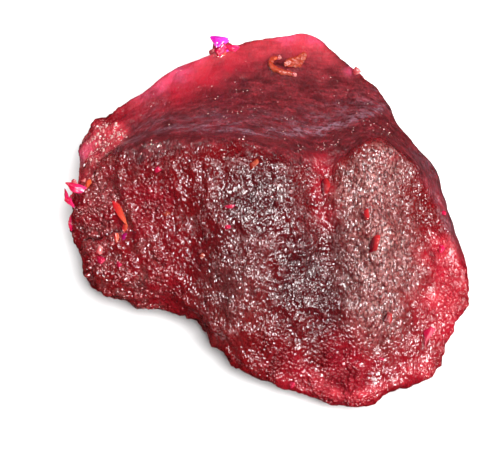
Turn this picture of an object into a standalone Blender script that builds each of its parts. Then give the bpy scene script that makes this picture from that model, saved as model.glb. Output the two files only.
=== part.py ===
"""Raw ruby: one broken chunk of rough corundum, lying on a flat parting face.

The body is a loft through cross-sections taken from its left end to its right end. A crest runs from
left to right. In front of it a rough slope falls to the front rim, and behind it a smooth shell-shaped
hollow falls to a thin back rim. The loft is remeshed, roughened and split by clefts, splinters and
crumbs are joined to it, and its underside is cut flat. Metres, +Z up, and +Y points away from the rough
slope. The origin is at the centre of the bounding box's bottom.
"""

import bmesh
import bpy
import numpy as np
from mathutils import Matrix, Vector, noise
from mathutils.geometry import intersect_point_line
from mathutils.bvhtree import BVHTree

MM = 0.001

STONE_WIDTH = 46.0 * MM
STONE_TRIANGLES = 8800

# Cross-sections, in millimetres, from the left end to the right end. Each row is an x station, nine
# (y, z) points over the top from the front rim to the back rim (rim, toe, lower slope, upper slope,
# crest, foot of the hollow, hollow, far shelf, rim), and the height of the underside's lowest stretch.
SECTIONS = (
    (-22.7, ((-2.2, 6.0), (-2.3, 6.6), (-1.8, 7.0), (-1.0, 7.3), (-0.1, 7.3),
             (0.8, 7.1), (1.6, 6.9), (2.4, 6.6), (3.2, 6.1)), 4.6),
    (-22.1, ((-4.8, 5.0), (-5.0, 7.0), (-3.9, 8.2), (-2.2, 9.0), (-0.3, 9.3),
             (1.6, 9.0), (3.3, 8.4), (5.2, 7.7), (7.4, 6.9)), 2.8),
    (-21.2, ((-7.9, 4.2), (-8.1, 6.6), (-6.1, 8.8), (-2.1, 10.2), (1.3, 10.5),
             (4.2, 9.9), (6.4, 9.2), (8.6, 8.6), (10.8, 7.6)), 1.2),
    (-19.9, ((-9.2, 4.0), (-9.3, 6.5), (-7.0, 9.5), (-1.8, 11.2), (3.2, 11.5),
             (5.9, 10.5), (7.7, 9.8), (9.4, 9.1), (11.4, 8.0)), 0.2),
    (-15.8, ((-10.6, 4.0), (-10.8, 7.5), (-8.5, 10.5), (-3.3, 13.3), (2.6, 15.2),
             (6.0, 12.8), (9.2, 11.3), (11.4, 10.5), (13.9, 9.2)), -0.9),
    (-11.2, ((-11.8, 4.0), (-11.9, 7.5), (-9.4, 11.3), (-4.2, 14.7), (2.2, 17.6),
             (6.8, 14.3), (11.2, 12.0), (14.6, 10.8), (17.8, 9.6)), -1.3),
    (-8.4, ((-13.5, 4.0), (-13.6, 7.6), (-10.4, 12.3), (-4.9, 16.2), (1.3, 18.6),
            (6.6, 14.8), (11.6, 12.2), (15.7, 10.8), (19.1, 9.7)), -1.3),
    (-6.7, ((-15.8, 4.0), (-15.4, 7.5), (-11.4, 12.2), (-5.9, 16.7), (0.6, 19.2),
            (6.1, 15.3), (11.7, 12.5), (16.2, 11.0), (19.8, 9.8)), -1.3),
    (-2.2, ((-19.4, 4.0), (-18.3, 7.5), (-12.8, 12.8), (-6.6, 17.4), (-0.1, 19.6),
            (5.6, 15.6), (12.6, 12.5), (17.9, 11.0), (21.7, 9.8)), -1.3),
    (2.3, ((-21.0, 3.5), (-19.1, 6.8), (-13.1, 12.2), (-6.9, 16.7), (-0.5, 18.6),
           (5.5, 14.9), (12.7, 12.3), (18.5, 11.0), (22.5, 9.8)), -1.3),
    (4.3, ((-21.8, 3.5), (-19.2, 6.4), (-13.5, 11.2), (-6.7, 14.9), (0.2, 17.0),
           (5.6, 14.2), (12.8, 12.2), (18.5, 11.0), (22.9, 9.8)), -1.3),
    (6.2, ((-22.4, 3.5), (-19.4, 6.0), (-13.6, 10.6), (-6.6, 14.0), (0.7, 16.4),
           (5.8, 14.0), (12.1, 12.3), (17.6, 11.1), (21.9, 9.9)), -1.3),
    (8.5, ((-23.0, 3.5), (-19.9, 6.2), (-14.0, 11.4), (-7.3, 15.9), (0.4, 18.1),
           (5.2, 15.2), (10.8, 12.9), (15.2, 11.6), (18.8, 10.5)), -1.2),
    (11.1, ((-23.1, 3.5), (-20.0, 6.2), (-14.1, 11.6), (-7.4, 16.3), (0.9, 19.0),
            (5.0, 16.0), (9.2, 13.8), (12.6, 12.4), (15.7, 11.0)), -1.0),
    (12.9, ((-22.0, 3.5), (-19.5, 6.0), (-13.7, 10.9), (-6.9, 15.4), (0.9, 18.6),
            (3.5, 16.6), (7.2, 14.2), (10.4, 12.6), (13.6, 11.2)), -0.8),
    (14.4, ((-21.0, 3.5), (-18.8, 6.0), (-13.2, 9.8), (-6.2, 14.2), (0.6, 17.5),
            (2.6, 16.0), (4.8, 14.2), (7.0, 12.8), (9.6, 11.3)), -0.5),
    (16.3, ((-20.1, 3.6), (-18.2, 5.9), (-12.7, 9.0), (-6.6, 12.6), (-0.3, 15.6),
            (1.4, 14.6), (3.1, 13.4), (4.6, 12.2), (6.6, 10.7)), -0.1),
    (18.2, ((-19.4, 4.0), (-17.5, 5.8), (-12.2, 8.0), (-6.8, 10.8), (-1.8, 13.0),
            (-0.1, 12.3), (1.6, 11.5), (3.4, 10.6), (5.4, 9.3)), 0.8),
    (19.6, ((-16.2, 4.2), (-14.9, 5.8), (-10.6, 7.4), (-6.6, 9.0), (-1.9, 10.6),
            (-0.6, 10.1), (0.7, 9.5), (2.0, 8.8), (3.4, 7.9)), 2.0),
    (21.1, ((-12.6, 5.0), (-11.9, 6.0), (-10.8, 6.8), (-9.5, 7.6), (-7.6, 8.3),
            (-6.4, 8.1), (-5.2, 7.8), (-3.9, 7.3), (-2.4, 6.7)), 3.4),
    (22.4, ((-11.6, 5.2), (-11.2, 5.8), (-10.5, 6.2), (-9.8, 6.5), (-9.0, 6.7),
            (-8.4, 6.7), (-7.8, 6.6), (-7.0, 6.4), (-6.1, 6.0)), 4.6),
)
CREST = 4

# Where the underside's four points lie between the back rim (1) and the front rim (0), and how far each
# has come down from the rims towards the lowest stretch.
UNDERSIDE = ((0.80, 0.45), (0.60, 0.92), (0.38, 1.0), (0.16, 0.88))

STEPS_BETWEEN_POINTS = 6
BODY_VOXEL = 0.55 * MM

# The broken surface's relief, as height and spacing in millimetres. Ribs run down the slope, plates are
# the broad steps of a break, and lumps and grains cover the rough faces. Ripples cross the hollow.
RIBS = (0.45, 2.2)
PLATES = (0.75, 9.0)
LUMPS = (0.55, 1.7)
GRAINS = (0.35, 1.05)
RIPPLES = (0.05, 3.1)
LUMPS_LEFT_IN_HOLLOW = 0.18
RIB_STRETCH = 3.3
# The relief starts at the first of these heights over the parting face and is full at the second.
SMOOTH_ABOVE_BASE = (0.4, 2.4)

# Clefts in the left lobe, as (x, y) points in millimetres seen from above, with
# each cleft's depth and half width.
CLEFTS = (
    (((-18.8, 0.6), (-17.6, -1.4), (-16.8, -3.2), (-16.2, -5.2), (-15.6, -7.0)), 1.1, 0.6),
    (((-22.0, -3.4), (-20.2, -4.2), (-18.6, -4.4), (-16.9, -4.6)), 1.0, 0.7),
    (((-19.6, -7.4), (-18.2, -7.6), (-16.8, -7.9)), 0.8, 0.6),
)

# Splinters and crumbs grown or stuck on, as (x, y) from above, direction, and (length, width, thickness).
SPLINTERS = {
    "rim_crumb": ((-5.7, 20.6, 10.2), (-0.20, 0.20, 0.96), (2.9, 2.5, 2.3)),
    "rim_crumb_side": ((-4.5, 20.5, 9.8), (0.95, 0.10, 0.25), (2.4, 1.4, 1.3)),
    "left_splinter": ((-22.0, 2.6, 7.5), (-0.97, 0.10, 0.20), (3.2, 1.2, 1.0)),
    "left_shard": ((-22.4, 1.0, 7.2), (-0.55, 0.65, 0.50), (2.8, 1.0, 0.9)),
    "lobe_knob": ((-20.0, 9.2, 8.4), (-0.60, 0.20, 0.75), (2.4, 2.2, 2.0)),
}

# A curled flake lying in the hollow, as (x, y) points in millimetres along its bow.
CURL = ((1.4, 18.6), (0.3, 17.9), (0.2, 17.2), (1.2, 16.4), (2.4, 16.3), (3.2, 17.0), (3.9, 17.9))
CURL_RADIUS = 0.42


def spline(points, steps, closed):
    """Points along a Catmull-Rom curve through the given ones."""
    points = np.asarray(points, float)
    if closed:
        padded = np.concatenate([points[-1:], points, points[:2]])
    else:
        padded = np.concatenate([2 * points[:1] - points[1:2], points, 2 * points[-1:] - points[-2:-1]])
    found = []
    for before, start, end, after in zip(padded, padded[1:], padded[2:], padded[3:]):
        for t in np.arange(steps) / steps:
            found.append(
                0.5 * (2 * start + (end - before) * t
                       + (2 * before - 5 * start + 4 * end - after) * t**2
                       + (3 * start - before - 3 * end + after) * t**3)
            )
    if not closed:
        found.append(points[-1])
    return np.array(found)


def whole_section(x, over, low):
    """The closed ring of points of one cross-section, as (x, y, z) in millimetres."""
    (front_y, front_z), (back_y, back_z) = over[0], over[-1]
    under = []
    for share, fall in UNDERSIDE:
        rim_z = front_z + (back_z - front_z) * share
        under.append((front_y + (back_y - front_y) * share, rim_z + (low - rim_z) * fall))
    return [(x, y, z) for y, z in (*over, *under)]


def loft_body():
    """The smooth closed body through all the cross-sections."""
    rings = np.array([whole_section(*section) for section in SECTIONS])
    along = np.stack([spline(rings[:, i], STEPS_BETWEEN_POINTS, closed=False)
                      for i in range(rings.shape[1])], axis=1)
    bm = bmesh.new()
    loops = [[bm.verts.new(point * MM) for point in spline(ring, STEPS_BETWEEN_POINTS, closed=True)]
             for ring in along]
    for ring, following in zip(loops, loops[1:]):
        for i in range(len(ring)):
            j = (i + 1) % len(ring)
            bm.faces.new((ring[i], ring[j], following[j], following[i]))
    for ring in (loops[0], loops[-1]):
        bmesh.ops.contextual_create(bm, geom=ring)
    bmesh.ops.recalc_face_normals(bm, faces=bm.faces)
    mesh = bpy.data.meshes.new("ruby_crystal")
    bm.to_mesh(mesh)
    bm.free()
    return mesh


def apply_modifiers(obj):
    """Replaces the object's mesh with what its modifiers make of it."""
    graph = bpy.context.evaluated_depsgraph_get()
    obj.data = bpy.data.meshes.new_from_object(obj.evaluated_get(graph))
    obj.modifiers.clear()


def ramp(value, start, end):
    """0 before start, 1 after end and a smooth rise between."""
    share = min(max((value - start) / (end - start), 0.0), 1.0)
    return share * share * (3 - 2 * share)


def in_hollow(point, normal):
    """1 on the smooth hollow behind the crest and 0 on the rough faces; the point is in millimetres."""
    stations = [section[0] for section in SECTIONS]
    crest_line = [section[1][CREST][0] for section in SECTIONS]
    behind = point.y - np.interp(point.x, stations, crest_line)
    return ramp(behind, 0.3, 2.5) * ramp(normal.z, -0.6, 0.1) * ramp(point.x, -20.0, -16.5)


def cleft_depth(point):
    """How deep the clefts cut in under a point, in millimetres."""
    depth = 0.0
    for line, deepest, half_width in CLEFTS:
        for start, end in zip(line, line[1:]):
            share = min(max(intersect_point_line(point.xy, start, end)[1], 0.0), 1.0)
            nearest = Vector(start).lerp(Vector(end), share)
            off_line = (point.xy - nearest).length / half_width
            depth = max(depth, deepest * np.exp(-off_line * off_line))
    return depth


def bumps(point, height_and_spacing):
    """Smooth random bumps of about this height and spacing."""
    height, spacing = height_and_spacing
    return height * noise.noise(point / spacing)


def relief(point, normal):
    """How far the broken surface stands out from the smooth body, in millimetres."""
    hollow = in_hollow(point, normal)
    ribs = bumps(Vector((point.x, point.y / RIB_STRETCH, point.z / RIB_STRETCH)), RIBS)
    plate_height, plate_spacing = PLATES
    plates = plate_height * (noise.ridged_multi_fractal(point / plate_spacing, 1.0, 2.0, 2, 1.0, 2.0) - 1.0)
    lumps = bumps(point, LUMPS) + bumps(point, GRAINS)
    ripple_height, ripple_spacing = RIPPLES
    phase = 2 * np.pi * point.y / ripple_spacing + 1.5 * noise.noise(point / 6.0)
    rough_face = ribs + plates + lumps
    smooth_face = LUMPS_LEFT_IN_HOLLOW * lumps + ripple_height * np.sin(phase)
    clefts = ramp(normal.z, 0.0, 0.4) * cleft_depth(point)
    outward = (1 - hollow) * rough_face + hollow * smooth_face - clefts
    return ramp(point.z, *SMOOTH_ABOVE_BASE) * outward


def roughen(obj):
    """Moves each vertex along its normal, as rough breaks, ribs and grains stand out of the body."""
    moved = [vertex.co + vertex.normal * relief(vertex.co / MM, vertex.normal) * MM
             for vertex in obj.data.vertices]
    for vertex, place in zip(obj.data.vertices, moved):
        vertex.co = place
    obj.data.update()


def surface_of(obj):
    """The object's surface, ready for rays."""
    return BVHTree.FromPolygons([v.co for v in obj.data.vertices], [p.vertices for p in obj.data.polygons])


def dropped(surface, x, y):
    """The point of the surface straight under a point high over x, y, which are in millimetres."""
    return surface.ray_cast(Vector((x, y, 60)) * MM, Vector((0, 0, -1)))[0]


def tube_along(name, places, radius, collection):
    """A round-ended tube through places, thinner at its ends, as a mesh object."""
    curve = bpy.data.curves.new(name, "CURVE")
    curve.dimensions = "3D"
    curve.bevel_depth = radius
    curve.bevel_resolution = 2
    curve.use_fill_caps = True
    line = curve.splines.new("POLY")
    line.points.add(len(places) - 1)
    for i, (point, place) in enumerate(zip(line.points, places)):
        point.co = (*place, 1.0)
        point.radius = 0.35 if i in (0, len(places) - 1) else 1.0
    guide = bpy.data.objects.new(name, curve)
    collection.objects.link(guide)
    mesh = bpy.data.meshes.new_from_object(guide.evaluated_get(bpy.context.evaluated_depsgraph_get()))
    bpy.data.objects.remove(guide)
    bm = bmesh.new()
    bm.from_mesh(mesh)
    bmesh.ops.remove_doubles(bm, verts=bm.verts, dist=0.01 * MM)
    bmesh.ops.recalc_face_normals(bm, faces=bm.faces)
    bm.to_mesh(mesh)
    bm.free()
    tube = bpy.data.objects.new(name, mesh)
    collection.objects.link(tube)
    return tube


def shard(name, place, direction, size, collection):
    """An angular splinter, longest along its direction."""
    length, width, thickness = (extent * MM / 2 for extent in size)
    bm = bmesh.new()
    bmesh.ops.create_icosphere(bm, subdivisions=1, radius=1.0)
    turn = Vector(direction).to_track_quat("Z", "Y").to_matrix().to_4x4()
    for vertex in bm.verts:
        vertex.co *= 1 + 0.28 * noise.noise(vertex.co * 3 + Vector(place))
    stretch = Matrix.Diagonal((width, thickness, length, 1.0))
    bmesh.ops.transform(bm, matrix=Matrix.Translation(Vector(place) * MM) @ turn @ stretch, verts=bm.verts)
    mesh = bpy.data.meshes.new(name)
    bm.to_mesh(mesh)
    bm.free()
    obj = bpy.data.objects.new(name, mesh)
    collection.objects.link(obj)
    return obj


def cut_flat(stone):
    """Takes away all that reaches below the parting face and closes the face."""
    bm = bmesh.new()
    bm.from_mesh(stone.data)
    everything = (*bm.verts, *bm.edges, *bm.faces)
    cut = bmesh.ops.bisect_plane(bm, geom=everything, dist=0.001 * MM, plane_co=(0, 0, 0),
                                 plane_no=(0, 0, 1), clear_inner=True)["geom_cut"]
    outline = [edge for edge in cut if isinstance(edge, bmesh.types.BMEdge)]
    bmesh.ops.contextual_create(bm, geom=outline)
    bmesh.ops.dissolve_degenerate(bm, edges=bm.edges, dist=0.02 * MM)
    bmesh.ops.triangulate(bm, faces=bm.faces)
    bm.to_mesh(stone.data)
    bm.free()


def grow_on(stone, pieces):
    """Joins the pieces to the stone as one body."""
    for piece in pieces:
        union = stone.modifiers.new(piece.name, "BOOLEAN")
        union.operation = "UNION"
        union.solver = "EXACT"
        union.object = piece
    apply_modifiers(stone)
    for piece in pieces:
        bpy.data.objects.remove(piece)


def thin_out(stone, triangles):
    """Merges the mesh down to about this many triangles, which keeps its sharpest relief."""
    stone.data.calc_loop_triangles()
    decimate = stone.modifiers.new("fewer_faces", "DECIMATE")
    decimate.ratio = triangles / len(stone.data.loop_triangles)
    decimate.use_collapse_triangulate = True
    apply_modifiers(stone)


def stand_on_origin(stone):
    """Scales the stone to its width and puts the centre of its box's bottom at the origin."""
    corners = np.array([vertex.co for vertex in stone.data.vertices])
    low, high = corners.min(axis=0), corners.max(axis=0)
    foot = Vector(((low[0] + high[0]) / 2, (low[1] + high[1]) / 2, low[2]))
    scale = STONE_WIDTH / (high[0] - low[0])
    stone.data.transform(Matrix.Scale(scale, 4) @ Matrix.Translation(-foot))


def ruby_material():
    """Deep red, glossy and a little translucent."""
    material = bpy.data.materials.new("ruby")
    material.use_nodes = True
    shader = material.node_tree.nodes["Principled BSDF"]
    shader.inputs["Base Color"].default_value = (0.33, 0.012, 0.03, 1.0)
    shader.inputs["Roughness"].default_value = 0.28
    shader.inputs["IOR"].default_value = 1.77
    shader.inputs["Transmission Weight"].default_value = 0.3
    return material


def main():
    for obj in list(bpy.data.objects):
        bpy.data.objects.remove(obj)
    raw_ruby = bpy.data.collections.new("raw_ruby")
    bpy.context.scene.collection.children.link(raw_ruby)

    stone = bpy.data.objects.new("ruby_crystal", loft_body())
    raw_ruby.objects.link(stone)
    remesh = stone.modifiers.new("even_mesh", "REMESH")
    remesh.mode = "VOXEL"
    remesh.voxel_size = BODY_VOXEL
    apply_modifiers(stone)
    roughen(stone)
    thin_out(stone, STONE_TRIANGLES)

    surface = surface_of(stone)
    bow = [dropped(surface, x, y) for x, y in CURL]
    curled_flake = tube_along("curled_flake", bow, CURL_RADIUS * MM, raw_ruby)
    shards = [shard(name, *facts, raw_ruby) for name, facts in SPLINTERS.items()]
    grow_on(stone, [curled_flake, *shards])
    cut_flat(stone)

    stand_on_origin(stone)
    stone.data.materials.clear()
    stone.data.materials.append(ruby_material())


if __name__ == "__main__":
    main()
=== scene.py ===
"""Raw ruby: the looks of a broken chunk of corundum, as a panel of Blender operators.

Each operator makes one piece, or one group of like pieces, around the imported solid. The stone is a
fine mesh grown from the solid, with grains, ribs and pits that the solid is too coarse for, and the
crumbs and splinters that cling to it are pieces of their own. All sizes are in metres, unless a
comment says that they are in millimetres.
"""

import math
import random

import bpy
import numpy as np
from bpy.props import FloatProperty, FloatVectorProperty, PointerProperty
from mathutils import Matrix, Vector, noise
from mathutils.bvhtree import BVHTree


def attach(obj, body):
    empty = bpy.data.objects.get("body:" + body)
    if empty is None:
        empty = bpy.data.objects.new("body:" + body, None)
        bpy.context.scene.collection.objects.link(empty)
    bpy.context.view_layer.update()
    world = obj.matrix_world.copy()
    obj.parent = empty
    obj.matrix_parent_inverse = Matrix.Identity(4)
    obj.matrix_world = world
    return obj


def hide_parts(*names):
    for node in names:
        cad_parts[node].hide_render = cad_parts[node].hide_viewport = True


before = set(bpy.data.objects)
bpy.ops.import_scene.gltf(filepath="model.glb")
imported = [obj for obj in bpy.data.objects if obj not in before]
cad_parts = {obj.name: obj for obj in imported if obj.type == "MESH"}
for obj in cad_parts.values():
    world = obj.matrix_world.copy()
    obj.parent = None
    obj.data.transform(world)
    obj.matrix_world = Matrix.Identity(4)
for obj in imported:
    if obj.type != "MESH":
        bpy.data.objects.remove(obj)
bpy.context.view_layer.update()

bl_info = {
    "name": "Raw ruby",
    "version": (1, 0, 0),
    "blender": (4, 5, 0),
    "location": "3D View > Sidebar > Raw ruby",
    "description": "Builds a rough chunk of ruby with its crumbs, splinters and studio",
    "category": "Object",
}

MM = 0.001
SOLID = "ruby_crystal"
BODY = "root"
RUBY_IOR = 1.76

# How the solid becomes an even mesh, before its relief is raised.
MERGE_DISTANCE = 0.001 * MM
SMOOTHING = {"factor": 0.5, "iterations": 5}

# The relief that is modelled on top of the solid's form.
FOOT_FADE = (0.3 * MM, 1.6 * MM)     # between these heights it fades out towards the flat underside
LUMP_SPACING = 1.5 * MM
LUMP_HEIGHT = 0.26 * MM
BUBBLE_SPACING = 0.95 * MM
STREAK_SPACING = 0.8 * MM
SWELL_SPACING = 2.4 * MM
LEDGE_WIDTH = 0.7 * MM
LEDGE_HEIGHT = 0.10 * MM

# Light comes through the stone where it is about this thin. Rays find how thin it is: they start
# a little under the skin and run inwards, straight and at these tilts in degrees.
EDGE_THICKNESS = 5.0 * MM
RAY_START_DEPTH = 0.05 * MM
RAY_TILTS = ((0, "X"), (40, "X"), (-40, "X"), (40, "Y"), (-40, "Y"))
RAY_TOP = 60                         # rays from above start at this height, in millimetres

# The finer relief, in the stone's finish: how many bumps a metre has, and how deep they are.
GRAINS_PER_METRE, GRAIN_DEPTH = 4000.0, 0.20 * MM
CLUMPS_PER_METRE, CLUMP_DEPTH = 540.0, 1.15 * MM
PEBBLES_PER_METRE, PEBBLE_DEPTH = 2500.0, 0.85 * MM
STREAKS_PER_METRE, STREAK_DEPTH = 1900.0, 0.09 * MM
TOOTH_PER_METRE, TOOTH_DEPTH = 5200.0, 0.055 * MM
HAIRS_PER_METRE = 3300.0
CHIP_TOOTH_DEPTH = 0.03 * MM
SLOPE_STRETCH = (1.0, 0.58, 0.58)    # grains and clumps are longer down the slope

# Cloudy patches in the stone's colour and relief: how many there are in a metre, their detail,
# the part of the noise that counts, from and to, and the share that it gives, from and to.
PATCHES = {
    "thick": (190.0, 3.0, 0.44, 0.66, 1.0, 0.75),
    "frost_and_sheen": (900.0, 4.0, 0.35, 0.65, 0.60, 1.0),
    "frost_and_sheen_fleck": (2900.0, 3.0, 0.42, 0.56, 0.25, 1.15),
    "painted_glint_spot": (600.0, 3.0, 0.53, 0.63, 0.0, 1.0),
    "painted_glint_fleck": (3000.0, 2.0, 0.48, 0.58, 0.0, 1.0),
    "cloud": (700.0, 5.0, 0.30, 0.70, 0.35, 1.0),
    "mottle": (3600.0, 3.0, 0.38, 0.62, 0.50, 1.20),
    "painted_sheen_fleck": (3600.0, 3.0, 0.36, 0.56, 0.55, 1.2),
    "glow": (420.0, 4.0, 0.30, 0.62, 0.35, 1.0),
    "vein": (330.0, 4.0, 0.36, 0.60, 0.50, 1.15),
    "edge_glow": (700.0, 4.0, 0.34, 0.60, 0.25, 1.0),
    "broad_relief": (330.0, 2.0, 0.35, 0.65, 0.65, 1.0),
    "close_relief": (950.0, 2.0, 0.40, 0.58, 0.60, 1.1),
}

# Light under the skin: its weight, its reach in red, green and blue, and its depth.
STONE_LIGHT = (0.35, (1.0, 0.08, 0.12), 4.0 * MM)
CHIP_LIGHT = (0.4, (1.0, 0.15, 0.25), 1.0 * MM)

# Where the rough slope begins, in front of the hollow: (x, y) from above, in millimetres.
ROUGH_START = (
    (-20.5, 4.6), (-17.3, 3.6), (-15.6, 1.6), (-13.9, 0.2), (-11.0, 0.6), (-6.6, 0.4), (-3.5, 0.9),
    (-1.2, 0.0), (1.0, -1.0), (3.1, -1.7), (5.9, -1.2), (8.0, -0.2), (10.2, 0.8), (12.4, 1.9),
    (14.1, 1.2), (15.8, 0.0), (18.6, -1.8), (21.5, -7.6),
)

# The band of pale, hair-fine streaks of painted sheen that crosses the hollow, seen from above in
# the same way.
PAINTED_SHEEN_LINE = (
    (-16.9, 4.1), (-13.0, 5.8), (-7.3, 5.5), (-2.9, 4.8), (1.6, 4.7), (3.9, 5.8), (9.6, 7.5),
    (11.9, 8.5), (13.8, 10.9),
)

# Places seen from above, as (x, y, reach, strength) in millimetres. Here light gathers inside the
# stone, and it glows.
GLOWS = (
    (6.2, 0.2, 2.0, 0.7),        # the saddle between the bulge and the right rib
    (6.2, -2.6, 1.6, 0.8),       # the head of the valley
    (6.6, -5.4, 1.6, 0.5),
    (19.6, -0.5, 2.6, 0.35),     # the right flank
    (20.5, -8.5, 4.2, 0.9),      # the right edge
    (20.0, -13.5, 4.4, 0.9),     # the right corner
    (17.0, -19.0, 4.0, 0.5),     # the front right edge
    (9.5, -20.8, 4.6, 0.60),     # the front tip
    (3.0, -20.8, 3.0, 0.45),     # the front edge
    (-16.3, -3.8, 0.8, 0.8),     # the crack that parts the left lobe from the slope
    (-18.5, -7.2, 1.0, 0.7),     # the foot of the left lobe
    (-18.5, -2.0, 5.0, 0.36),    # the left lobe
    (-12.0, -10.0, 5.0, 0.20),   # the slope under the lobe
    (-13.0, -4.0, 3.6, 0.32),    # the left facet
    (-18.6, 8.2, 3.2, 1.0),      # the top of the left lobe
    (-15.0, 11.8, 4.0, 0.5),     # the left rim of the hollow
    (-11.5, 14.0, 4.4, 0.8),
    (-7.6, 16.6, 4.2, 0.9),
    (-4.2, 18.6, 3.2, 0.95),
    (-1.0, 19.5, 2.0, 0.5),
    (3.5, 21.5, 3.0, 0.7),       # the far tip of the rim
    (8.8, -19.9, 2.4, 0.40),     # the dent in the front tip
)
# Here the stone is thick and darkest.
DEEPS = (
    (-0.5, -5.0, 6.5, 1.0),      # the bulge
    (5.0, -12.0, 6.5, 1.0),      # the valley
    (-4.0, -11.0, 5.5, 0.7),     # the foot of the bulge
    (3.0, 8.5, 7.0, 0.6),        # the middle of the hollow
)
# Here its skin is dull and frosted, with a pale sheen painted on it.
FROST_AND_SHEEN_SPOTS = (
    (11.0, -3.5, 4.2, 1.0),      # the right rib
    (12.5, -9.5, 5.0, 1.0),      # the right facet
    (12.0, -14.5, 3.6, 0.8),
    (12.8, -0.6, 3.0, 0.9),
    (-19.3, 6.8, 3.4, 0.9),      # the left lobe's top
    (-18.6, -0.6, 1.8, 0.5),
    (-19.9, -4.0, 0.8, 0.9),
    (-3.5, -13.0, 4.5, 0.18),    # the foot of the bulge
)
# Here a pale sheen is painted on the smooth faces.
PAINTED_SHEEN_SPOTS = (
    (-13.2, 11.9, 2.6, 0.30),
    (18.3, 3.6, 2.6, 0.35),
    (19.8, -0.5, 2.8, 0.45),
    (20.6, -4.0, 2.4, 0.40),
)
# Here a pink glow is painted on the thin edges.
EDGE_GLOWS = (
    (-12.3, 15.2, 2.2, 0.45),    # the left rim of the hollow
    (-10.4, 16.9, 2.4, 0.50),
    (-14.4, 14.0, 1.6, 0.40),
    (-8.0, 19.0, 1.6, 0.40),
    (3.0, 22.4, 2.0, 0.60),      # the far tip
    (6.0, 21.6, 1.4, 0.60),
    (10.2, 16.4, 1.0, 0.50),
    (-20.9, 7.2, 1.6, 0.40),     # the left lobe
)
# Here the grains are coarser and rounder, and each shines by itself.
PEBBLES = (
    (8.0, -20.5, 5.5, 1.0),      # the front tip
    (1.0, -18.5, 3.5, 0.8),
    (20.5, -11.5, 3.2, 0.7),     # the right corner
    (-18.8, -2.5, 6.0, 1.0),     # the left lobe
    (-19.0, 6.5, 3.0, 1.0),
    (-19.3, 9.6, 2.8, 1.0),
    (-13.0, -3.5, 4.5, 0.8),     # the left facet
    (-13.5, -10.5, 5.5, 0.9),    # the slope under the lobe
)
# Here the stone's edge swells a little, as (x, y, reach, height) in millimetres.
SWELLS = (
    (9.1, -22.0, 1.3, 0.40),
)
# Here the grains are low and even.
EVENS = (
    (8.0, -20.5, 5.5, 0.45),     # the front tip
    (1.0, -19.5, 3.5, 0.45),
    (16.5, -19.0, 3.0, 0.40),
)
# Here round lumps stand up, with a pale sheen painted on their tops.
LUMPS = (
    (-18.8, -2.5, 5.0, 1.0),
    (-18.0, 4.5, 3.0, 1.0),
    (-15.0, -10.5, 4.0, 0.8),
)
# Here light through the stone is painted as at a thin edge.
LIT_THROUGH_SPOTS = (
    (-18.2, 7.2, 3.0, 0.95),     # the top of the left lobe
    (-21.2, 3.6, 2.8, 0.55),
    (-12.0, 15.0, 2.6, 0.40),    # the left rim of the hollow
    (20.0, -6.5, 2.6, 0.45),     # the right edge
    (19.8, -11.5, 3.0, 0.42),
)
# Grooves in the left lobe: depth, width and way seen from above, all in millimetres.
GROOVES = (
    (0.95, 0.50, ((-20.5, -4.4), (-19.6, -4.7), (-18.5, -4.9), (-17.5, -4.7), (-16.8, -4.5))),
    (0.40, 0.42, ((-17.8, -0.8), (-17.1, -2.0), (-16.6, -3.4), (-16.0, -4.8), (-15.2, -6.5),
                  (-14.3, -8.4), (-13.4, -9.9))),
)

# What the stone's finish reads from its mesh.
LOOKS = ("thinness", "hollow", "frost_and_sheen", "painted_sheen", "glow", "deep", "edge_glow", "bed", "pebbly", "tops",
         "smooth")

# The streaks in the hollow run in arcs about this point, seen from above in millimetres. Their
# length is measured on the arc of this radius, and shortened, because a streak is long.
FLOW_CENTRE = (-1.7, -20.0)
FLOW_RADIUS = 30
FLOW_STRETCH = 0.34

# The left end of the hollow, and where the painted light through the right rim of the stone begins
# to fade.
HOLLOW_LEFT_END = (-17.8 * MM, -15.8 * MM)
DIM_RIM_X = (6.0 * MM, 11.0 * MM)
DIM_RIM_Y = (0.0, 4.0 * MM)

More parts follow.
